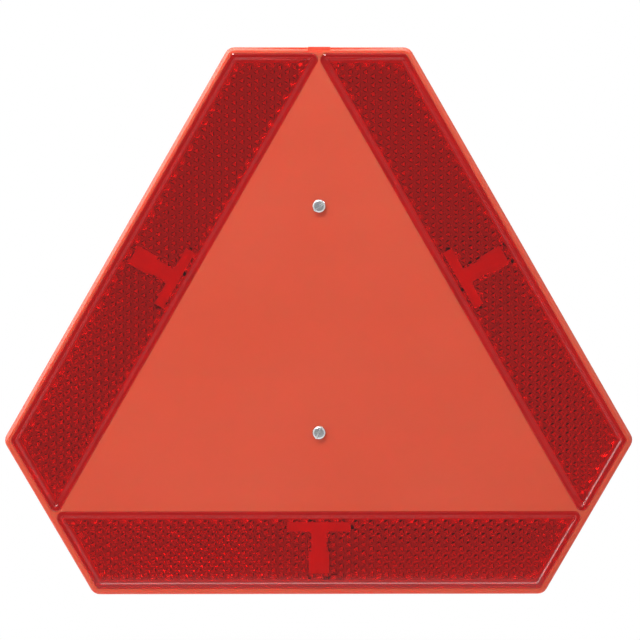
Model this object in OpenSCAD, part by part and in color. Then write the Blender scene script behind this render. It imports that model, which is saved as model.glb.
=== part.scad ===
// Rear marking sign for slow vehicles, a triangle with cut corners.
// One moulded carrier holds three clear red lenses with a field of cube corner prisms
// on their back. Two slotted screws with washers and nuts stand out of the rear.
// The front faces -Y, the rear rim lies at Y = 0, and Z is up.

/* [Carrier] */
// Distance from the centre to each long edge
long_edge = 164; // [160:0.5:168]
// Distance from the centre to each cut corner
cut_edge = 219; // [216:0.5:222]
// Radius of the six corners of the outline
corner_r = 7.5; // [5:0.5:10]
// Depth from the front face to the rear rim
depth = 13; // [13:0.5:16]
// Radius of the rounded shoulder around the front face
shoulder_r = 2.4; // [1.6:0.1:3]
// Taper of the side wall from rear to shoulder
wall_draft = 0.4; // [0.2:0.1:0.8]
// Chamfer around the rear rim
rear_chamfer = 0.5; // [0.3:0.1:0.8]
// Thickness of the side wall
wall_t = 2.5; // [2:0.1:3]
// Thickness of the front face
face_t = 2.5; // [2:0.1:3]

/* [Land] */
// Width of the flat land in the shoulder at the top
land_w = 15.4; // [10:0.2:20]
// Length of the flat land from the top edge down
land_l = 3.1; // [2:0.1:4]
// Step of the land behind the front face
land_step = 1; // [0.6:0.1:1.5]
// Setback of the land behind the rear outline
land_set = 0.2; // [0.1:0.05:0.3]

/* [Ribs] */
// Thickness of the ribs on the rear
rib_t = 1.6; // [1.2:0.1:2.2]
// Setback of the ribs from the rear rim
rib_set = 0.6; // [0.3:0.1:1]

/* [Lens pockets] */
// Distance from the centre to the near side of each lens
lens_near = 105; // [103:0.5:108]
// Rim between a lens and the long edge
long_rim = 4.8; // [4.4:0.1:6]
// Rim between a lens and the cut corner
cut_rim = 4.9; // [4.6:0.1:6]
// Gap around each lens in its pocket
lens_gap = 0.15; // [0.1:0.05:0.3]
// Width of the ledge that carries the lens
ledge_w = 2.4; // [1.8:0.1:3]
// Wall between the pocket and the hollow behind the triangle
pocket_wall = 1.8; // [1.4:0.1:2.4]
// Thickness of the pocket floor
floor_t = 1.4; // [1:0.1:2]
// Air gap between prism tips and pocket floor
prism_air = 0.7; // [0.4:0.1:1.2]

/* [Lens] */
// Radius of the two blunt outer corners
blunt_r = 2.6; // [2:0.1:4]
// Radius of the two sharp inner corners
sharp_r = 4.5; // [4.2:0.1:5.5]
// Height of the raised border above the front face
border_rise = 0.5; // [0.2:0.1:1]
// Width of the raised border
border_w = 2.9; // [2.4:0.1:3.2]
// Depth of the window below the border
window_drop = 1.4; // [0.8:0.1:1.8]
// Run of the slope from border to window
slope_w = 1.3; // [0.8:0.1:1.6]
// Radius of the outer edge of the border
border_r = 0.7; // [0.3:0.1:1]
// Radius at the top and foot of the slope
slope_r = 0.5; // [0.3:0.1:0.6]
// Thickness of the window plate
window_t = 2; // [1.8:0.1:2.6]
// Chamfer around the back of the plate
plate_chamfer = 0.3; // [0.1:0.1:0.5]

/* [Prisms] */
// Width of one prism cell across its flats
cell_w = 6.1; // [5.6:0.1:7]
// Least margin from the lens outline to the prism field
field_margin = 5.2; // [4.8:0.1:7]

/* [Bare patch] */
// Half length of the bar of the patch
bar_half = 22.5; // [16:0.5:28]
// Start of the bar from the near side of the lens
bar_from = 7.8; // [7:0.1:9]
// End of the bar from the near side of the lens
bar_to = 14.9; // [13:0.1:17]
// Half width of the stem of the patch
stem_half = 5.4; // [4:0.1:7]
// End of the stem from the near side of the lens
stem_to = 28.8; // [24:0.1:31]
// Half width of the foot of the patch
foot_half = 7.2; // [5:0.1:9]
// End of the foot from the near side of the lens
foot_to = 44.8; // [40:0.1:46]

/* [Fixings] */
// Height of the upper screw above the centre
upper_z = 108.5; // [104:0.5:112]
// Height of the lower screw against the centre
lower_z = -49.5; // [-53:0.5:-46]
// Diameter over the thread crests of the free end
thread_d = 4.9; // [4.8:0.05:5]
// Diameter of the shank and of the thread inside the nut
shank_d = 4.48; // [4.4:0.02:4.5]
// Length of the screw under its head
screw_l = 25; // [20:5:30]
// Diameter of the screw head
head_d = 9.6; // [9:0.1:10]
// Height of the screw head
head_h = 3; // [2.6:0.1:3.4]
// Height of the straight side of the head
head_side = 0.9; // [0.5:0.1:1.2]
// Diameter of the flat on top of the head
head_flat_d = 6.4; // [5.6:0.1:7]
// Width of the driver slot
slot_w = 1.2; // [1:0.1:1.4]
// Depth of the driver slot
slot_deep = 1.4; // [1.1:0.1:1.7]
// Turn of the slot of the upper screw
upper_turn = 43; // [0:1:180]
// Turn of the slot of the lower screw
lower_turn = 63; // [0:1:180]
// Chamfer on the tip of the screw
tip_chamfer = 0.7; // [0.4:0.1:0.9]
// Radial clearance between thread and bore
bore_gap = 0.3; // [0.2:0.05:0.5]
// Diameter of the boss around each screw
boss_d = 20; // [19:0.5:23]
// Diameter of the recess for washer and nut
recess_d = 15.5; // [14.5:0.5:17]
// Outer diameter of the washer
washer_d = 10; // [9.5:0.5:11]
// Bore of the washer
washer_bore = 5.3; // [5.2:0.1:5.5]
// Thickness of the washer
washer_t = 1; // [0.8:0.1:1.2]
// Width of the nut across its flats
nut_w = 8; // [8:0.5:9]
// Thickness of the nut
nut_t = 4; // [3.6:0.1:4.2]
// Chamfer on the corners of the nut
nut_chamfer = 0.4; // [0.3:0.05:0.5]
// Setback of the nut from the rear rim
nut_set = 1; // [0.6:0.1:1.5]

/* [Hidden] */
$fn = 64;
// angle covered by one flat of an outline corner
flat_turn = 15;
// smallest radius that an inset corner keeps
least_r = 0.4;
// reach of a cutter past the surface that it opens
past = 1;
// flats in the quarter round of the shoulder
shoulder_flats = 4;
// flats in each small quarter round of the lens
lens_flats = 2;

// the lens outline
lens_far = long_edge - long_rim;
lens_end = cut_edge - cut_rim;
// heights above the rear rim
face_back = depth - face_t;
border_top = depth + border_rise;
window_top = border_top - window_drop;
plate_back = window_top - window_t;
// a cube corner cell: spacing of its corner points and height of one level
point_w = cell_w / sqrt(3);
level_h = cell_w / sqrt(6);
row_h = point_w * sin(60);
prism_tip = plate_back - 2 * level_h;
floor_top = prism_tip - prism_air;
floor_back = floor_top - floor_t;
// the screw's stations
nut_back = nut_set;
nut_front = nut_back + nut_t;
recess_top = nut_front + washer_t;
screw_tip = depth - screw_l;
bore_d = thread_d + 2 * bore_gap;
// the rib grid has a node at each screw
rib_pitch = (upper_z - lower_z) / 4;
rib_side = rib_pitch / sin(60);

carrier_sides = [[-90, long_edge], [-30, cut_edge], [30, long_edge], [90, cut_edge],
    [150, long_edge], [210, cut_edge]];
carrier_radii = [for (side = carrier_sides) corner_r];
lens_sides = [[-90, lens_far], [-30, lens_end], [90, -lens_near], [210, lens_end]];
lens_radii = [blunt_r, sharp_r, sharp_r, blunt_r];
// the block under a lens runs into the side wall of the carrier
block_sides = [[-90, long_edge - wall_t / 2], [-30, cut_edge - wall_t / 2],
    [90, pocket_wall - lens_near], [210, cut_edge - wall_t / 2]];
block_radii = [corner_r, sharp_r, sharp_r, corner_r];

// where two lines meet, each given by the angle of its normal and its distance
function meet(a, da, b, db) =
    [da * sin(b) - db * sin(a), db * cos(a) - da * cos(b)] / sin(b - a);
// the angle of the next side, always greater than that of side k
function next_turn(sides, k) =
    let (b = sides[(k + 1) % len(sides)][0]) b > sides[k][0] ? b : b + 360;
// the corner after side k of the outline, moved inward by inset
function corner(sides, radii, k, inset) =
    let (a = sides[k][0], b = next_turn(sides, k))
    let (r = max(radii[k] - inset, least_r), in = inset + r)
    let (c = meet(a, sides[k][1] - in, b, sides[(k + 1) % len(sides)][1] - in))
    let (steps = round((b - a) / flat_turn))
    [for (s = [0:steps]) c + r * [cos(a + (b - a) * s / steps), sin(a + (b - a) * s / steps)]];
function outline(sides, radii, inset) =
    [for (k = [0:len(sides) - 1]) each corner(sides, radii, k, inset)];

// points of a stack of rings of one outline, each ring given as [inset, height]
function ring_points(sides, radii, levels) =
    [for (v = levels) for (p = outline(sides, radii, v[0])) [p[0], p[1], v[1]]];
// walls between m rings of n points
function ring_walls(n, m) = [for (k = [0:m - 2]) for (i = [0:n - 1]) let (j = (i + 1) % n)
    [k * n + i, (k + 1) * n + i, (k + 1) * n + j, k * n + j]];
function top_cap(n, m) = [for (i = [n - 1:-1:0]) (m - 1) * n + i];

// a solid through a list of rings
module loft(sides, radii, levels) {
    n = len(outline(sides, radii, 0));
    m = len(levels);
    polyhedron(ring_points(sides, radii, levels),
        concat([[for (i = [0:n - 1]) i]], ring_walls(n, m), [top_cap(n, m)]));
}

module plate(sides, radii, inset, low, high) {
    translate([0, 0, low])
    linear_extrude(high - low)
    polygon(outline(sides, radii, inset));
}

// from the flat layout, front up, to the upright sign with its front to -Y
module upright() {
    rotate([90, 0, 0])
    children();
}

module each_lens() {
    for (a = [0, 120, 240])
        rotate([0, 0, a])
        children();
}

module each_screw() {
    for (y = [upper_z, lower_z])
        translate([0, y, 0])
        children();
}

// quarter round of the shoulder from the side wall to the front face
shoulder = [for (s = [0:shoulder_flats]) let (a = 90 * s / shoulder_flats)
    [wall_draft + shoulder_r * (1 - cos(a)), depth - shoulder_r * (1 - sin(a))]];

module carrier_body() {
    loft(carrier_sides, carrier_radii,
        concat([[rear_chamfer, 0], [0, rear_chamfer]], shoulder));
    translate([-land_w / 2, cut_edge - land_l, face_back])
    cube([land_w, land_l - land_set, face_t]);
}

// the node points of the rib grid, counted from the lower screw
function rib_node(i, j) = [(i + j / 2) * rib_side, lower_z + j * rib_pitch];
// a triangle of the grid, drawn in by half a rib
function rib_cell(a, b, c) =
    let (mid = (a + b + c) / 3, part = 1 - 3 * rib_t / (2 * rib_pitch))
    [for (p = [a, b, c]) mid + part * (p - mid)];
rib_low = -ceil((long_edge + lower_z) / rib_pitch);
rib_high = ceil((cut_edge - lower_z) / rib_pitch);
rib_wide = ceil(cut_edge / rib_side);

module rib_cells() {
    for (j = [rib_low:rib_high - 1])
        for (i = [-rib_wide - floor(j / 2):rib_wide - floor(j / 2)]) {
            polygon(rib_cell(rib_node(i, j), rib_node(i + 1, j), rib_node(i, j + 1)));
            polygon(rib_cell(rib_node(i + 1, j), rib_node(i + 1, j + 1), rib_node(i, j + 1)));
        }
}

module hollow_area() {
    difference() {
        polygon(outline(carrier_sides, carrier_radii, wall_t));
        each_screw()
        circle(d = boss_d);
    }
}

module block_areas() {
    each_lens()
    polygon(outline(block_sides, block_radii, 0));
}

module carrier() {
    color("orangered")
    upright()
    difference() {
        carrier_body();
        translate([-land_w / 2, cut_edge - land_l, depth - land_step])
        cube([land_w, land_l + past, land_step + past]);
        // the shallow clearance behind the ribs
        translate([0, 0, -past])
        linear_extrude(past + rib_set)
        hollow_area();
        // the cells behind the lens pockets
        translate([0, 0, rib_set])
        linear_extrude(floor_back - rib_set)
        intersection() {
            rib_cells();
            hollow_area();
        }
        // the deeper cells behind the middle triangle
        translate([0, 0, floor_back])
        linear_extrude(face_back - floor_back)
        intersection() {
            rib_cells();
            difference() {
                hollow_area();
                block_areas();
            }
        }
        each_lens() {
            plate(lens_sides, lens_radii, -lens_gap, plate_back, depth + past);
            plate(lens_sides, lens_radii, ledge_w, floor_top, plate_back + past);
        }
        each_screw() {
            translate([0, 0, -past])
            cylinder(d = bore_d, h = depth + 2 * past);
            translate([0, 0, -past])
            cylinder(d = recess_d, h = recess_top + past);
        }
    }
}

// profile of the lens from the back of the plate over the border down to the window
border_out = [for (s = [0:lens_flats]) let (a = 90 * s / lens_flats)
    [border_r * (1 - cos(a)), border_top - border_r * (1 - sin(a))]];
slope_top = [[border_w - slope_r / 2, border_top], [border_w + slope_r / 2, border_top - slope_r / 2]];
slope_foot = [[border_w + slope_w - slope_r / 2, window_top + slope_r / 2],
    [border_w + slope_w + slope_r / 2, window_top]];

// The cube corners stand on a triangular lattice whose rows run along the lens. Row 0 is
// on the near side, and each row has one point less than the row before it, because the
// ends of the lens slant by 60 degrees.
field_rows = floor((lens_far - lens_near - 2 * field_margin) / row_h);
field_start = (lens_near + lens_far - field_rows * row_h) / 2;
field_end = (lens_end - field_margin - field_start * sin(30)) / cos(30);
row_points = 1 + floor(2 * field_end / point_w);
function row_len(j) = row_points - j;
function point_x(i, j) = (i - (row_len(j) - 1) / 2) * point_w;
function point_y(j) = field_start + j * row_h;
// true inside the smooth patch that has no prisms
function in_patch(x, y) =
    let (u = y - lens_near, side = abs(x))
    (u > bar_from && u < bar_to && side < bar_half)
    || (u >= bar_to && u < stem_to && side < stem_half)
    || (u >= stem_to && u < foot_to && side < foot_half);
// level of a lattice point: 0 on the plate, 2 on the tip of a cube corner
function on_edge(i, j) = i == 0 || i == row_len(j) - 1 || j == 0 || j == field_rows;
function level(i, j) = on_edge(i, j) || in_patch(point_x(i, j), point_y(j)) ? 0 : (i + 2 * j) % 3;

// the rear ring of the plate comes first in the list of points, and the lattice last
lens_ring = len(outline(lens_sides, lens_radii, 0));
lens_levels = concat([[plate_chamfer, plate_back], [0, plate_back + plate_chamfer]],
    border_out, slope_top, slope_foot);
lattice_start = lens_ring * len(lens_levels);
function at(p) = lattice_start + p[1] * row_points - p[1] * (p[1] - 1) / 2 + p[0];
function ring_corner(k) = k == 0 ? 0 : ring_corner(k - 1) + len(corner(lens_sides, lens_radii, k - 1, 0));
// lattice points along each side of the field, in the order of the lens sides after corner k
field_sides = [
    [for (j = [field_rows:-1:0]) [row_len(j) - 1, j]],
    [for (i = [row_len(0) - 1:-1:0]) [i, 0]],
    [for (j = [0:field_rows]) [0, j]],
    [for (i = [0:row_len(field_rows) - 1]) [i, field_rows]]];
// the flat rim between corner k of the plate and the prism field
function rim_faces(k) =
    let (first = ring_corner(k), last = ring_corner(k + 1) - 1, side = field_sides[k])
    concat([for (s = [first:last - 1]) [s, s + 1, at(side[0])]],
        [for (q = [0:len(side) - 2]) [last, at(side[q + 1]), at(side[q])]],
        [[last, (last + 1) % lens_ring, at(side[len(side) - 1])]]);

module lens() {
    lattice = [for (j = [0:field_rows]) for (i = [0:row_len(j) - 1])
        [point_x(i, j), -point_y(j), plate_back - level(i, j) * level_h]];
    cube_faces = [for (j = [0:field_rows - 1]) for (i = [0:row_len(j) - 2])
        each [[at([i, j + 1]), at([i + 1, j]), at([i, j])],
        if (i < row_len(j) - 2) [at([i, j + 1]), at([i + 1, j + 1]), at([i + 1, j])]]];
    color("crimson")
    polyhedron(concat(ring_points(lens_sides, lens_radii, lens_levels), lattice),
        concat(cube_faces, [for (k = [0:3]) each rim_faces(k)],
        ring_walls(lens_ring, len(lens_levels)), [top_cap(lens_ring, len(lens_levels))]));
}

module lens_left() {
    upright()
    rotate([0, 0, -120])
    lens();
}

module lens_right() {
    upright()
    rotate([0, 0, 120])
    lens();
}

module lens_bottom() {
    upright()
    lens();
}

// half profile of the screw, its axis upright and the tip at the bottom
module screw(turn) {
    color("silver")
    difference() {
        union() {
            translate([0, 0, screw_tip])
            cylinder(d1 = thread_d - 2 * tip_chamfer, d2 = thread_d, h = tip_chamfer);
            translate([0, 0, screw_tip + tip_chamfer])
            cylinder(d = thread_d, h = nut_back - screw_tip - tip_chamfer);
            translate([0, 0, nut_back])
            cylinder(d = shank_d, h = depth - nut_back);
            translate([0, 0, depth])
            rotate_extrude()
            polygon(head_profile);
        }
        rotate([0, 0, turn])
        translate([-head_d, -slot_w / 2, depth + head_h - slot_deep])
        cube([2 * head_d, slot_w, slot_deep + past]);
    }
}

// the rounded flank of the head
head_flats = 5;
flank_w = (head_d - head_flat_d) / 2;
head_profile = concat([[0, 0], [head_d / 2, 0]],
    [for (s = [0:head_flats]) let (a = 90 * s / head_flats)
        [head_d / 2 - flank_w * (1 - cos(a)), head_side + (head_h - head_side) * sin(a)]],
    [[0, head_h]]);

module washer() {
    color("silver")
    translate([0, 0, nut_front])
    difference() {
        cylinder(d = washer_d, h = washer_t);
        translate([0, 0, -past])
        cylinder(d = washer_bore, h = washer_t + 2 * past);
    }
}

module nut() {
    corner_d = nut_w / cos(30);
    color("silver")
    translate([0, 0, nut_back])
    difference() {
        intersection() {
            cylinder(d = corner_d, h = nut_t, $fn = 6);
            union() {
                cylinder(d1 = corner_d - 4 * nut_chamfer, d2 = corner_d, h = nut_chamfer);
                translate([0, 0, nut_chamfer])
                cylinder(d = corner_d + past, h = nut_t - 2 * nut_chamfer);
                translate([0, 0, nut_t - nut_chamfer])
                cylinder(d1 = corner_d, d2 = corner_d - 4 * nut_chamfer, h = nut_chamfer);
            }
        }
        translate([0, 0, -past])
        cylinder(d = shank_d, h = nut_t + 2 * past);
    }
}

module upper_screw() {
    upright()
    translate([0, upper_z, 0])
    screw(upper_turn);
}

module lower_screw() {
    upright()
    translate([0, lower_z, 0])
    screw(lower_turn);
}

module upper_washer() {
    upright()
    translate([0, upper_z, 0])
    washer();
}

module lower_washer() {
    upright()
    translate([0, lower_z, 0])
    washer();
}

module upper_nut() {
    upright()
    translate([0, upper_z, 0])
    nut();
}

module lower_nut() {
    upright()
    translate([0, lower_z, 0])
    nut();
}

carrier();
lens_left();
lens_right();
lens_bottom();
upper_screw();
lower_screw();
upper_washer();
lower_washer();
upper_nut();
lower_nut();
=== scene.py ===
"""A slow vehicle warning sign: its plastics, its zinc plated screws, and the studio it is seen in."""

import math

import bmesh
import bpy
from mathutils import Matrix, Vector


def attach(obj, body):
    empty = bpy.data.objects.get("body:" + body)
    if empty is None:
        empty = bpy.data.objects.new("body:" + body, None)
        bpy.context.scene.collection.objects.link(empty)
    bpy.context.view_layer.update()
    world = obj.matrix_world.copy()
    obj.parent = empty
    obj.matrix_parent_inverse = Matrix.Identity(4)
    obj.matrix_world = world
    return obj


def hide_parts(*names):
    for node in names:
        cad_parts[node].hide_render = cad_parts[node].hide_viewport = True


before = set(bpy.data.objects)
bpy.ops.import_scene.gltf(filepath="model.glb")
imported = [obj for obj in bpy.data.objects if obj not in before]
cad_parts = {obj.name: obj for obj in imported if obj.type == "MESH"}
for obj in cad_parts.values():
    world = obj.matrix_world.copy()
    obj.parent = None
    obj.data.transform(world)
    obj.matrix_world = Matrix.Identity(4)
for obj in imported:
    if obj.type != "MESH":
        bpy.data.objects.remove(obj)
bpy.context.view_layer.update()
bpy.ops.object.select_all(action="DESELECT")

# Sizes are in metres, in the part's own frame: the sign's front looks along -Y
MM = 0.001
NEAR = 0.01 * MM
SAME_POINT = 0.002 * MM
HOW_SMOOTH = math.radians(32)
LENSES = ("lens_left", "lens_right", "lens_bottom")
WASHERS = ("upper_washer", "lower_washer")
NUTS = ("upper_nut", "lower_nut")

# Colours, linear
ORANGE_DEEP = (0.52, 0.074, 0.024)
ORANGE_PALE = (0.54, 0.082, 0.028)
# Painted red glow: a fixed emission that stands in for the plastic's fluorescence and lifts the red in
# shaded places and behind the lenses, whatever the light
FLUORESCENT_PAINTED_GLOW = (0.14, 0.003, 0.001)
LENS_DEEP = (0.84, 0.004, 0.003)
LENS_PALE = (0.88, 0.005, 0.004)
ZINC_BLUE = (0.55, 0.58, 0.62)
ZINC_WARM = (0.64, 0.64, 0.62)
WHITE = (1, 1, 1, 1)

# Sizes of a finish's grain, clouds and rubbed lines: the larger the number, the finer the mark
ORANGE_MARKS = (1100.0, 9.0, 22.0)
LENS_MARKS = (700.0, 14.0, 30.0)
ZINC_MARKS = (2600.0, 380.0, 900.0)
MARK_SIZES = {"Grain Size": 900.0, "Cloud Size": 12.0, "Line Size": 60.0}
LINES_TURN = math.radians(34)
LINES_STRETCH = (1.0, 6.0, 26.0)
LINES_KEPT = (0.56, 0.72)
MASK_SPAN = (0.3, 0.7)

# Detail and roughness of each mark's noise
GRAIN_NOISE = (3.0, 0.6)
CLOUD_NOISE = (4.0, 0.5)
LINES_NOISE = (5.0, 0.65)

# Roughness, from the smoothest to the dullest place
ORANGE_SHEEN = (0.40, 0.50)
ZINC_SHEEN = (0.22, 0.32)
POLISHED = (0.02, 0.05)
MATT = (0.55, 0.7)

# Relief of the grain: strength and depth
ORANGE_GRAIN = (0.10, 0.1 * MM)
ZINC_GRAIN = (0.12, 0.04 * MM)

# How far red, green and blue light spread inside the orange plastic
SPREAD = (1.0, 0.06, 0.03)
SPREAD_SCALE = 12 * MM
ORANGE_IOR = 1.5
LENS_IOR = 1.49


# Small helpers for node trees

def new_material(name):
    """An empty material, with its output node."""
    material = bpy.data.materials.new(name)
    material.use_nodes = True
    tree = material.node_tree
    tree.nodes.clear()
    return material, tree, tree.nodes.new("ShaderNodeOutputMaterial")


def add(tree, kind, **settings):
    """A node of that kind: inputs by their socket name, other settings by attribute."""
    node = tree.nodes.new(kind)
    for key, value in settings.items():
        if hasattr(node, key):
            setattr(node, key, value)
        else:
            node.inputs[key.replace("_", " ")].default_value = value
    return node


def join(tree, start, end):
    """A link from one socket to another."""
    tree.links.new(start, end)


def reckon(tree, kind, first, second):
    """The outcome of a sum with a socket and another socket or number."""
    node = add(tree, "ShaderNodeMath", operation=kind)
    join(tree, first, node.inputs[0])
    if isinstance(second, float):
        node.inputs[1].default_value = second
    else:
        join(tree, second, node.inputs[1])
    return node.outputs[0]


# Materials

def noise_at(tree, place, size, quality):
    """A noise over a place, with its size from a socket."""
    detail, rough = quality
    noise = add(tree, "ShaderNodeTexNoise", Detail=detail, Roughness=rough)
    join(tree, place, noise.inputs["Vector"])
    join(tree, size, noise.inputs["Scale"])
    return noise.outputs["Fac"]


def moulding_marks():
    """Shared surface marks: a fine grain, wide soft clouds and thin rubbed lines."""
    group = bpy.data.node_groups.new("moulding_marks", "ShaderNodeTree")
    for name, size in MARK_SIZES.items():
        socket = group.interface.new_socket(name, in_out="INPUT", socket_type="NodeSocketFloat")
        socket.default_value = size
    for name in ("Grain", "Cloud", "Lines"):
        group.interface.new_socket(name, in_out="OUTPUT", socket_type="NodeSocketFloat")
    given = group.nodes.new("NodeGroupInput")
    result = group.nodes.new("NodeGroupOutput")
    where = group.nodes.new("ShaderNodeTexCoord").outputs["Object"]
    drawn = add(group, "ShaderNodeMapping", Rotation=(0, LINES_TURN, 0), Scale=LINES_STRETCH)
    join(group, where, drawn.inputs["Vector"])
    grain = noise_at(group, where, given.outputs["Grain Size"], GRAIN_NOISE)
    cloud = noise_at(group, where, given.outputs["Cloud Size"], CLOUD_NOISE)
    lines = noise_at(group, drawn.outputs["Vector"], given.outputs["Line Size"], LINES_NOISE)
    thin = add(group, "ShaderNodeMapRange", interpolation_type="SMOOTHSTEP",
               From_Min=LINES_KEPT[0], From_Max=LINES_KEPT[1])
    join(group, lines, thin.inputs["Value"])
    join(group, grain, result.inputs["Grain"])
    join(group, cloud, result.inputs["Cloud"])
    join(group, thin.outputs["Result"], result.inputs["Lines"])
    return group


MARKS = moulding_marks()


def place_marks(tree, sizes):
    """The shared marks in one material, at sizes that suit it."""
    grain, cloud, line = sizes
    return add(tree, "ShaderNodeGroup", node_tree=MARKS, Grain_Size=grain, Cloud_Size=cloud,
               Line_Size=line)


def shade_by(tree, mask, shader, low, high):
    """A base colour that goes from low to high with a mask."""
    ramp = tree.nodes.new("ShaderNodeValToRGB")
    for stop, position, colour in zip(ramp.color_ramp.elements, MASK_SPAN, (low, high)):
        stop.position = position
        stop.color = (*colour, 1)
    join(tree, mask, ramp.inputs["Fac"])
    join(tree, ramp.outputs["Color"], shader.inputs["Base Color"])


def roughen_by(tree, mask, shader, span):
    """A roughness that goes from one end of its span to the other with a mask."""
    level = add(tree, "ShaderNodeMapRange", From_Min=MASK_SPAN[0], From_Max=MASK_SPAN[1],
                To_Min=span[0], To_Max=span[1])
    join(tree, mask, level.inputs["Value"])
    join(tree, level.outputs["Result"], shader.inputs["Roughness"])


def bump_by(tree, height, shader, relief):
    """Fine relief on a shader's surface."""
    strength, depth = relief
    bump = add(tree, "ShaderNodeBump", Strength=strength, Distance=depth)
    join(tree, height, bump.inputs["Height"])
    join(tree, bump.outputs["Normal"], shader.inputs["Normal"])


def orange_plastic():
    """Fluorescent orange moulded plastic with a satin sheen, light that spreads inside it, and a painted
    red glow that shines at a fixed strength under any light.
    """
    material, tree, out = new_material("orange_plastic")
    marks = place_marks(tree, ORANGE_MARKS)
    # The emission is a painted red glow of fixed strength, standing in for fluorescence; it keeps shaded
    # places red
    skin = add(tree, "ShaderNodeBsdfPrincipled", IOR=ORANGE_IOR, Subsurface_Weight=1.0,
               Subsurface_Radius=SPREAD, Subsurface_Scale=SPREAD_SCALE,
               Emission_Color=(*FLUORESCENT_PAINTED_GLOW, 1), Emission_Strength=1.0)
    shade_by(tree, marks.outputs["Cloud"], skin, ORANGE_DEEP, ORANGE_PALE)
    roughen_by(tree, marks.outputs["Cloud"], skin, ORANGE_SHEEN)
    bump_by(tree, marks.outputs["Grain"], skin, ORANGE_GRAIN)
    join(tree, skin.outputs["BSDF"], out.inputs["Surface"])
    return material


def red_lens(name, sheen):
    """Clear red moulded plastic, with faint flow clouds in its colour."""
    material, tree, out = new_material(name)
    marks = place_marks(tree, LENS_MARKS)
    clear = add(tree, "ShaderNodeBsdfPrincipled", IOR=LENS_IOR, Transmission_Weight=1.0)
    shade_by(tree, marks.outputs["Cloud"], clear, LENS_DEEP, LENS_PALE)
    roughen_by(tree, marks.outputs["Grain"], clear, sheen)
    join(tree, clear.outputs["BSDF"], out.inputs["Surface"])
    return material


def zinc_plate():
    """Bright zinc plating, a little uneven in colour and finely rubbed."""
    material, tree, out = new_material("zinc_plate")
    marks = place_marks(tree, ZINC_MARKS)
    metal = add(tree, "ShaderNodeBsdfPrincipled", Metallic=1.0)
    shade_by(tree, marks.outputs["Cloud"], metal, ZINC_BLUE, ZINC_WARM)
    roughen_by(tree, marks.outputs["Lines"], metal, ZINC_SHEEN)
    bump_by(tree, marks.outputs["Grain"], metal, ZINC_GRAIN)
    join(tree, metal.outputs["BSDF"], out.inputs["Surface"])
    return material


def coat(mesh, *materials):
    """Gives a mesh its materials."""
    mesh.materials.clear()
    for material in materials:
        mesh.materials.append(material)


orange = orange_plastic()
polished_red = red_lens("polished_red_lens", POLISHED)
matt_red = red_lens("matt_red_lens", MATT)
zinc = zinc_plate()

# The washers and nuts keep the shape of their solids
for fitting in WASHERS + NUTS:
    coat(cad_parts[fitting].data, zinc)


# Small helpers for meshes

def take(piece):
    """Selects a piece alone and makes it active."""
    bpy.ops.object.select_all(action="DESELECT")
    piece.select_set(True)
    bpy.context.view_layer.objects.active = piece


def edit():
    """Goes to edit mode."""
    bpy.ops.object.mode_set(mode="EDIT")


def leave_edit():
    """Goes back to object mode."""
    bpy.ops.object.mode_set(mode="OBJECT")


def merge_all():
    """In edit mode, selects everything and merges points that are the same."""
    bpy.ops.mesh.select_all(action="SELECT")
    bpy.ops.mesh.remove_doubles(threshold=SAME_POINT)


def start_from(node_name, name):
    """A new piece with a node's own surface, merged into one skin."""
    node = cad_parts[node_name]
    piece = bpy.data.objects.new(name, node.data.copy())
    bpy.context.scene.collection.objects.link(piece)
    take(piece)
    bpy.ops.mesh.customdata_custom_splitnormals_clear()
    bpy.ops.object.shade_flat()
    edit()
    merge_all()
    leave_edit()
    return piece


def pick(piece, kind, wanted):
    """In edit mode, selects the vertices, edges or faces that wanted() takes."""
    bpy.ops.mesh.select_mode(type={"verts": "VERT", "edges": "EDGE", "faces": "FACE"}[kind])
    bpy.ops.mesh.select_all(action="DESELECT")
    shape = bmesh.from_edit_mesh(piece.data)
    for part in getattr(shape, kind):
        if wanted(part):
            part.select_set(True)
    shape.select_flush_mode()
    bmesh.update_edit_mesh(piece.data)


def apply_modifier(piece, kind, **settings):
    """Adds a modifier and applies it."""
    step = piece.modifiers.new(kind.lower(), kind)
    for key, value in settings.items():
        setattr(step, key, value)
    bpy.context.view_layer.objects.active = piece
    bpy.ops.object.modifier_apply(modifier=step.name)


def settle(piece):
    """Puts a piece's place and turn into its mesh."""
    take(piece)
    bpy.ops.object.transform_apply(location=True, rotation=True, scale=True)


def weld_on(piece, block):
    """Adds a block to a piece, as one body."""
    apply_modifier(piece, "BOOLEAN", operation="UNION", solver="EXACT", object=block)
    bpy.data.objects.remove(block)
    edit()
    bpy.ops.mesh.select_all(action="SELECT")
    bpy.ops.mesh.delete_loose()
    leave_edit()


# Carrier: a flat slope for the round of its upper shoulder

# The outline's six sides: distance from the middle, and which way each looks, in degrees
OUTLINE_SIDES = ((164 * MM, -90), (164 * MM, 30), (164 * MM, 150),
                 (219 * MM, 90), (219 * MM, -30), (219 * MM, 210))
SHOULDER_REACH = 3.9 * MM
SHOULDER_BACK = -10.5 * MM

# Levels of the shoulder's round, and how far each moves back to lie on a flat slope
SHOULDER_LEVELS = ((-11.518 * MM, 0.735 * MM), (-12.297 * MM, 0.994 * MM), (-12.817 * MM, 0.735 * MM))

# The land in the top shoulder, and the height of the sign's side corners
LAND_HALF = 7.9 * MM
LAND_LOW = 212 * MM
SIDE_CORNERS = -55 * MM


def depth_inside(place):
    """How far a point lies inside the outline's straight sides."""
    sides = [(reach, math.radians(turn)) for reach, turn in OUTLINE_SIDES]
    return min(reach - place.x * math.cos(turn) - place.z * math.sin(turn) for reach, turn in sides)


def top_shoulder(face):
    """True for a face of the shoulder along the top side."""
    high = all(v.co.z > LAND_LOW and depth_inside(v.co) < SHOULDER_REACH for v in face.verts)
    return high and face.calc_center_median().y < SHOULDER_BACK


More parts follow.
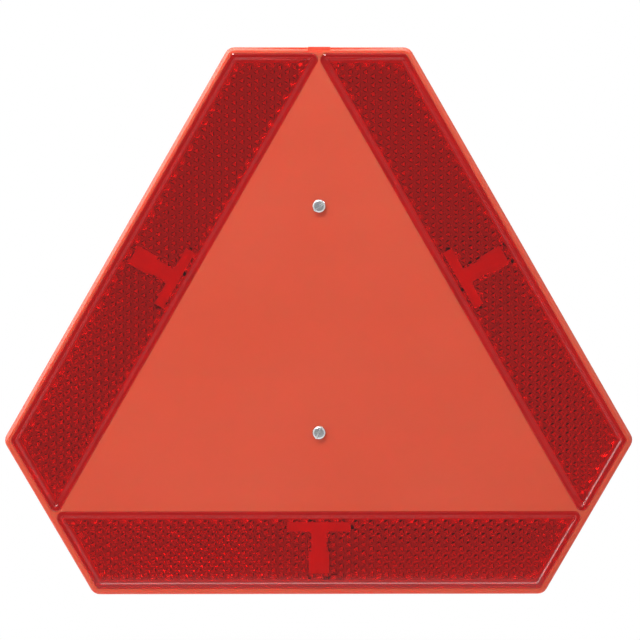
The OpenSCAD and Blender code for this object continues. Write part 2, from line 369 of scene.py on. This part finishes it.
def round_at(level):
    """A test for points of the upper shoulder's round at one level, clear of the land."""
    def test(vert):
        on_land = abs(vert.co.x) < LAND_HALF - NEAR and vert.co.z > LAND_LOW
        near_rim = vert.co.z > SIDE_CORNERS and depth_inside(vert.co) < SHOULDER_REACH
        return abs(vert.co.y - level) < NEAR and near_rim and not on_land
    return test


def finer_carrier():
    """The carrier, with its shoulder cut beside the land so that the land keeps its shape."""
    piece = start_from("carrier", "carrier_moulding")
    edit()
    for side in (-LAND_HALF, LAND_HALF):
        pick(piece, "faces", top_shoulder)
        bpy.ops.mesh.bisect(plane_co=(side, 0, 0), plane_no=(1, 0, 0))
    for level, back in SHOULDER_LEVELS:
        pick(piece, "verts", round_at(level))
        bpy.ops.transform.translate(value=(0, back, 0))
    leave_edit()
    bpy.ops.object.shade_smooth_by_angle(angle=HOW_SMOOTH)
    coat(piece.data, orange)
    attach(piece, "root")
    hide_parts("carrier")


finer_carrier()


# Lenses: the prisms run on to the edge of their field, with blunt tips and a bare patch

LENS_TURN = {"lens_bottom": 0, "lens_left": 120, "lens_right": -120}
LENS_NEAR = 105 * MM
LENS_FAR = 159.2 * MM
PLATE_BACK = -10.1 * MM
TIP_BACK = -5.12 * MM
FIELD_MARGIN = 5.2 * MM - 2 * NEAR

# The prism lattice: its points stand on three levels, from 0 on the plate to 2 at a tip
CELL = 6.1 * MM
POINT_GAP = CELL / math.sqrt(3)
ROW_GAP = CELL / 2
TIP_STEP = 2
LONGEST_ROUND = 4 * CELL
HOW_FLAT = math.radians(0.5)
ROW_DIGITS = 5

# Size of a blunt tip along the prism's edges, and the thin air under the rim
TIP_FLAT = 2.5 * MM
RING_LIFT = 0.06 * MM

# Slopes that tell a prism's side wall and the flat margin from the rest
WALL_TILT = 0.3
FLAT_TILT = 0.9

# The bare patch in the middle of a lens: width, and start and end from the lens's near side
PATCH_BLOCKS = {"bar": (44.7 * MM, 7.93 * MM, 14.87 * MM),
                "stem": (10.7 * MM, 14.2 * MM, 29.6 * MM),
                "foot": (14.5 * MM, 28.7 * MM, 44.7 * MM)}
PATCH_ROOT = -11 * MM
PATCH_FACE = -5 * MM
PATCH_EDGE = 0.5 * MM
PATCH_EDGE_STEPS = 4


def on_plate(vert):
    """True for a point on the plate's back."""
    return abs(vert.co.y - PLATE_BACK) < NEAR


def at_tips(vert):
    """True for a point as high as the prisms' tips."""
    return abs(vert.co.y - TIP_BACK) < NEAR


def is_tip(vert):
    """True for the tip of a prism, where its three sides meet."""
    return at_tips(vert) and len(vert.link_edges) == 3


def halves_a_square(edge):
    """True for an edge from tip to plate inside one flat side of a prism."""
    low, high = sorted(edge.verts, key=lambda v: v.co.y)
    return on_plate(low) and at_tips(high) and edge.calc_face_angle(1) < HOW_FLAT


def step_of(place, first_tip):
    """Step of a lattice point, 0 on the plate and 2 at a tip, counted from a tip's place."""
    rows = round((place.z - first_tip.z) / ROW_GAP)
    points = round((place.x - first_tip.x) / POINT_GAP - rows / 2)
    return (TIP_STEP + points - rows) % (TIP_STEP + 1)


def raise_prisms(piece, back):
    """In edit mode, brings the flat parts of the field's edge up to their prisms."""
    tips = [back @ v.co for v in piece.data.vertices if at_tips(v)]
    first_tip = min(tips, key=lambda p: (round(p.z, ROW_DIGITS), p.x))

    def in_field(vert):
        """True for a point of the prism lattice."""
        depth = -(back @ vert.co).z - LENS_NEAR
        return vert.co.y > PLATE_BACK - NEAR and FIELD_MARGIN < depth < LENS_FAR - LENS_NEAR - FIELD_MARGIN

    def of_lattice(face):
        """True for a face of the prisms, which all have short sides."""
        return all(in_field(v) for v in face.verts) and face.calc_perimeter() < LONGEST_ROUND

    pick(piece, "faces", of_lattice)
    bpy.ops.mesh.extrude_region_move()
    shape = bmesh.from_edit_mesh(piece.data)
    low = [v for v in shape.verts if v.select and on_plate(v)]
    raised = {step: [v for v in low if step_of(back @ v.co, first_tip) == step] for step in (1, TIP_STEP)}
    for step, points in raised.items():
        bpy.ops.mesh.select_all(action="DESELECT")
        for point in points:
            point.select_set(True)
        lift = step * (TIP_BACK - PLATE_BACK) / TIP_STEP
        bpy.ops.transform.translate(value=(0, lift, 0))
    merge_all()


def patch_block(name, width, start, end):
    """One block of the bare patch, upright in the bottom lens, with softened edges."""
    middle = (0, (PATCH_ROOT + PATCH_FACE) / 2, -LENS_NEAR - (start + end) / 2)
    bpy.ops.mesh.primitive_cube_add(size=1, location=middle)
    block = bpy.context.object
    block.name = name
    block.scale = (width, PATCH_FACE - PATCH_ROOT, end - start)
    settle(block)
    edit()
    pick(block, "edges", lambda e: abs(e.verts[0].co.y - e.verts[1].co.y) > NEAR)
    bpy.ops.mesh.bevel(offset=PATCH_EDGE, segments=PATCH_EDGE_STEPS, affect="EDGES")
    leave_edit()
    return block


def finer_lens(name):
    """A lens with its whole field of prisms, its bare patch and thin air under its rim."""
    piece = start_from(name, name + "_moulding")
    back = Matrix.Rotation(math.radians(-LENS_TURN[name]), 3, "Y")
    edit()
    raise_prisms(piece, back)
    pick(piece, "edges", halves_a_square)
    bpy.ops.mesh.dissolve_edges(use_verts=False)
    pick(piece, "verts", is_tip)
    bpy.ops.mesh.bevel(offset=TIP_FLAT, affect="VERTICES", segments=1)
    pick(piece, "verts", on_plate)
    bpy.ops.transform.translate(value=(0, -RING_LIFT, 0))
    leave_edit()
    for block_name, size in PATCH_BLOCKS.items():
        block = patch_block(block_name, *size)
        block.rotation_euler = (0, math.radians(LENS_TURN[name]), 0)
        settle(block)
        weld_on(piece, block)
    coat(piece.data, polished_red, matt_red)
    for face in piece.data.polygons:
        wall = face.center.y > PLATE_BACK and abs(face.normal.y) < WALL_TILT
        margin = face.normal.y > FLAT_TILT and face.center.y < PLATE_BACK + NEAR
        face.material_index = 1 if wall or margin else 0
    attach(piece, "root")
    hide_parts(name)


for lens_name in LENSES:
    finer_lens(lens_name)


# Screws: a slotted pan head on a threaded rod

HEAD_FRONT = -15.98 * MM
HEAD_BACK = -13 * MM
HEAD_RADIUS = 4.78 * MM
HEAD_ROUND = 1.65 * MM
HEAD_ROUND_STEPS = 9
HEAD_SIDES = 80
SOFT_EDGE = 0.12 * MM
SOFT_EDGE_STEPS = 2
SHARP_CORNER = math.radians(50)
SLOT_WIDTH = 1.25 * MM
SLOT_DEEP = 1.4 * MM
SLOT_ROUND = 0.5 * MM
SLOT_ROUND_STEPS = 5
THREAD_ROOT = 2.05 * MM
THREAD_CREST = 2.42 * MM
THREAD_PITCH = 0.8 * MM
THREAD_STEPS = 32
THREAD_FRONT = -13.6 * MM
THREAD_BACK = 11.9 * MM
SPARE_TURNS = 3
POINT_TAPER = 0.8

# Where each screw's middle is, and how far its slot is turned from level, in degrees
SCREW_PLACES = {"upper_screw": (108.5 * MM, 43), "lower_screw": (-49.5 * MM, 63)}


def threaded_rod(middle_z):
    """A rod with a rolled thread along Y, cut flat at both ends."""
    start = THREAD_FRONT - THREAD_PITCH
    bpy.ops.mesh.primitive_plane_add(size=THREAD_PITCH, location=(0, 0, middle_z))
    rod = bpy.context.object
    edit()
    pick(rod, "verts", lambda v: v.co.x > 0)
    bpy.ops.mesh.delete(type="VERT")
    bpy.ops.mesh.select_all(action="SELECT")
    bpy.ops.mesh.subdivide(number_cuts=1)
    bpy.ops.transform.translate(value=(THREAD_ROOT + THREAD_PITCH / 2, start, 0))
    pick(rod, "verts", lambda v: abs(v.co.y - start) < THREAD_PITCH / 4)
    bpy.ops.transform.translate(value=(THREAD_CREST - THREAD_ROOT, 0, 0))
    leave_edit()
    turns = math.ceil((THREAD_BACK - THREAD_FRONT) / THREAD_PITCH) + SPARE_TURNS
    apply_modifier(rod, "SCREW", axis="Y", angle=2 * math.pi, screw_offset=THREAD_PITCH,
                   iterations=turns, steps=THREAD_STEPS, render_steps=THREAD_STEPS,
                   use_merge_vertices=True, merge_threshold=SAME_POINT)
    edit()
    merge_all()
    bpy.ops.mesh.bisect(plane_co=(0, THREAD_FRONT, 0), plane_no=(0, 1, 0), use_fill=True,
                        clear_inner=True)
    bpy.ops.mesh.select_all(action="SELECT")
    bpy.ops.mesh.bisect(plane_co=(0, THREAD_BACK, 0), plane_no=(0, 1, 0), use_fill=True,
                        clear_outer=True)
    pick(rod, "verts", lambda v: v.co.y > THREAD_BACK - NEAR)
    bpy.ops.transform.resize(value=(POINT_TAPER, 1, POINT_TAPER),
                             center_override=(0, THREAD_BACK, middle_z))
    bpy.ops.mesh.select_all(action="SELECT")
    bpy.ops.mesh.normals_make_consistent(inside=False)
    leave_edit()
    settle(rod)
    return rod


def slot_cutter(middle_z, slot_turn):
    """A long bar with a rounded bottom, turned about the screw's middle."""
    bpy.ops.mesh.primitive_cube_add(size=1, location=(0, HEAD_FRONT, middle_z))
    slot = bpy.context.object
    slot.scale = (3 * HEAD_RADIUS, 2 * SLOT_DEEP, SLOT_WIDTH)
    settle(slot)
    floor_level = HEAD_FRONT + SLOT_DEEP
    edit()
    pick(slot, "edges", lambda e: all(v.co.y > floor_level - NEAR for v in e.verts)
         and abs(e.verts[0].co.x - e.verts[1].co.x) > HEAD_RADIUS)
    bpy.ops.mesh.bevel(offset=SLOT_ROUND, segments=SLOT_ROUND_STEPS, affect="EDGES")
    leave_edit()
    bpy.context.scene.cursor.location = (0, 0, middle_z)
    bpy.ops.object.origin_set(type="ORIGIN_CURSOR")
    slot.rotation_euler = (0, math.radians(-slot_turn), 0)
    settle(slot)
    return slot


def pan_head(name, middle_z, slot_turn):
    """A pan head with a rounded rim and a slot right across it."""
    middle_y = (HEAD_FRONT + HEAD_BACK) / 2
    bpy.ops.mesh.primitive_cylinder_add(vertices=HEAD_SIDES, radius=HEAD_RADIUS,
                                        depth=HEAD_BACK - HEAD_FRONT,
                                        location=(0, middle_y, middle_z), rotation=(math.pi / 2, 0, 0))
    head = bpy.context.object
    head.name = name
    settle(head)
    edit()
    pick(head, "edges", lambda e: max(v.co.y for v in e.verts) < HEAD_FRONT + NEAR)
    bpy.ops.mesh.bevel(offset=HEAD_ROUND, segments=HEAD_ROUND_STEPS, affect="EDGES")
    leave_edit()
    slot = slot_cutter(middle_z, slot_turn)
    apply_modifier(head, "BOOLEAN", operation="DIFFERENCE", solver="EXACT", object=slot)
    bpy.data.objects.remove(slot)
    apply_modifier(head, "BEVEL", limit_method="ANGLE", angle_limit=SHARP_CORNER, width=SOFT_EDGE,
                   segments=SOFT_EDGE_STEPS)
    return head


def finer_screw(name, middle_z, slot_turn):
    """A screw with its real slot and thread."""
    screw = pan_head(name + "_turned", middle_z, slot_turn)
    weld_on(screw, threaded_rod(middle_z))
    take(screw)
    bpy.ops.object.shade_smooth_by_angle(angle=HOW_SMOOTH)
    coat(screw.data, zinc)
    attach(screw, "root")
    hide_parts(name)


for screw_name, (middle_z, slot_turn) in SCREW_PLACES.items():
    finer_screw(screw_name, middle_z, slot_turn)


# Camera, where the photograph was taken from

CAMERA_AT = (-0.0107, -1.513, 0.1067)
CAMERA_TO = (0.0007, -0.013, 0.0293)
FRAME_PIXELS = 640
FOCAL_PIXELS = 2155
SENSOR_WIDTH = 36


def aim(thing, target):
    """Turns a camera or a lamp towards a point."""
    way = Vector(target) - thing.location
    thing.rotation_euler = way.to_track_quat("-Z", "Y").to_euler()


camera = bpy.data.objects.new("camera", bpy.data.cameras.new("camera"))
bpy.context.scene.collection.objects.link(camera)
camera.location = CAMERA_AT
aim(camera, CAMERA_TO)
camera.data.sensor_width = SENSOR_WIDTH
camera.data.lens = FOCAL_PIXELS / FRAME_PIXELS * SENSOR_WIDTH
bpy.context.scene.camera = camera


# Studio

WORLD_LIGHT = 0.15
CARD_PLACE = (0, -2.6, -0.1)
CARD_SIZE = (1.7, 1.4)
CARD_GREY = (0.34, 0.34, 0.34, 1)
FLOOR_LEVEL = -0.6
FLOOR_RADIUS = 4.5
FLOOR_SIDES = 96
FLOOR_PALE = (0.88, 0.88, 0.88, 1)
FLOOR_LIFT = 0.2
FLOOR_FADE = (0.9, 2.2)

# Lamps: place, target, width, height and power in watts
LAMPS = {"key": ((-0.65, -1.15, 1.6), (0, 0, 0), 0.5, 0.5, 42),
         "front_top": ((-0.25, -0.25, 1.15), (-0.25, -0.05, 0.1), 1.7, 1.4, 6),
         "top_rim": ((-0.25, 0.08, 1.05), (-0.25, 0.03, 0.1), 1.8, 0.5, 7),
         "left_rim": ((-1.1, 0.12, 0.62), (0, 0.04, 0.05), 0.5, 1.2, 8),
         "top_gloss": ((-0.25, 0.08, 1.05), (-0.25, 0.03, 0.1), 1.8, 0.5, 9),
         "left_gloss": ((-1.1, 0.12, 0.62), (0, 0.04, 0.05), 0.5, 1.2, 5)}

# These only add to the gloss of the upper shoulder
GLOSS_LAMPS = ("top_gloss", "left_gloss")

bpy.context.scene.view_settings.view_transform = "Standard"

# Light that comes through a clear lens onto the pocket close behind it is kept
bpy.context.scene.cycles.blur_glossy = 0


def seen_directly(tree):
    """1 where something is seen, mirrored or seen through the lenses, and 0 where it is only a light."""
    path = tree.nodes.new("ShaderNodeLightPath")
    mirrored = reckon(tree, "MAXIMUM", path.outputs["Is Camera Ray"], path.outputs["Is Glossy Ray"])
    return reckon(tree, "MAXIMUM", mirrored, path.outputs["Is Transmission Ray"])


def mix_into(tree, out, share, first, second):
    """Sends a mix of two shaders to the output."""
    mix = tree.nodes.new("ShaderNodeMixShader")
    join(tree, share, mix.inputs[0])
    join(tree, first.outputs[0], mix.inputs[1])
    join(tree, second.outputs[0], mix.inputs[2])
    join(tree, mix.outputs[0], out.inputs["Surface"])


def studio_world():
    """White where it is seen, mirrored or seen through the lenses, and softer as a light."""
    world = bpy.data.worlds.new("studio")
    bpy.context.scene.world = world
    world.use_nodes = True
    tree = world.node_tree
    tree.nodes.clear()
    out = tree.nodes.new("ShaderNodeOutputWorld")
    path = tree.nodes.new("ShaderNodeLightPath")
    before_matt = reckon(tree, "LESS_THAN", path.outputs["Diffuse Depth"], 0.5)
    seen = reckon(tree, "MULTIPLY", seen_directly(tree), before_matt)
    soft = add(tree, "ShaderNodeBackground", Color=WHITE, Strength=WORLD_LIGHT)
    white = add(tree, "ShaderNodeBackground", Color=WHITE, Strength=1.0)
    mix_into(tree, out, seen, soft, white)


def front_card():
    """An upright grey card behind the camera, which the gloss sees and the camera doesn't."""
    bpy.ops.mesh.primitive_plane_add(size=1, location=CARD_PLACE, rotation=(math.pi / 2, 0, 0))
    card = bpy.context.object
    card.name = "front_card"
    card.scale = (*CARD_SIZE, 1)
    material, tree, out = new_material("front_card")
    glow = add(tree, "ShaderNodeEmission", Color=CARD_GREY)
    join(tree, glow.outputs[0], out.inputs["Surface"])
    coat(card.data, material)
    card.visible_camera = False
    card.visible_diffuse = False
    card.visible_shadow = False


def lamp(name, place, target, width, height, power):
    """A rectangular soft lamp."""
    light = bpy.data.lights.new(name, "AREA")
    light.shape = "RECTANGLE"
    light.size = width
    light.size_y = height
    light.energy = power
    thing = bpy.data.objects.new(name, light)
    bpy.context.scene.collection.objects.link(thing)
    thing.location = place
    thing.visible_diffuse = name not in GLOSS_LAMPS
    aim(thing, target)


def pale_floor():
    """A wide floor that keeps a soft shadow near the sign and turns white further out."""
    bpy.ops.mesh.primitive_circle_add(vertices=FLOOR_SIDES, radius=FLOOR_RADIUS, fill_type="NGON",
                                      location=(0, 0, FLOOR_LEVEL))
    floor = bpy.context.object
    floor.name = "floor"
    settle(floor)
    material, tree, out = new_material("pale_floor")
    where = tree.nodes.new("ShaderNodeTexCoord")
    away = add(tree, "ShaderNodeVectorMath", operation="LENGTH")
    join(tree, where.outputs["Object"], away.inputs[0])
    fade = add(tree, "ShaderNodeMapRange", interpolation_type="SMOOTHSTEP",
               From_Min=FLOOR_FADE[0], From_Max=FLOOR_FADE[1])
    join(tree, away.outputs["Value"], fade.inputs["Value"])
    seen = seen_directly(tree)
    far = reckon(tree, "MULTIPLY", seen, fade.outputs["Result"])
    pale = add(tree, "ShaderNodeBsdfDiffuse", Color=FLOOR_PALE)
    lift = add(tree, "ShaderNodeEmission", Color=WHITE)
    join(tree, reckon(tree, "MULTIPLY", seen, FLOOR_LIFT), lift.inputs["Strength"])
    lit = tree.nodes.new("ShaderNodeAddShader")
    join(tree, pale.outputs[0], lit.inputs[0])
    join(tree, lift.outputs[0], lit.inputs[1])
    white = add(tree, "ShaderNodeEmission", Color=WHITE)
    mix_into(tree, out, far, lit, white)
    coat(floor.data, material)


studio_world()
front_card()
for lamp_name, settings in LAMPS.items():
    lamp(lamp_name, *settings)
pale_floor()
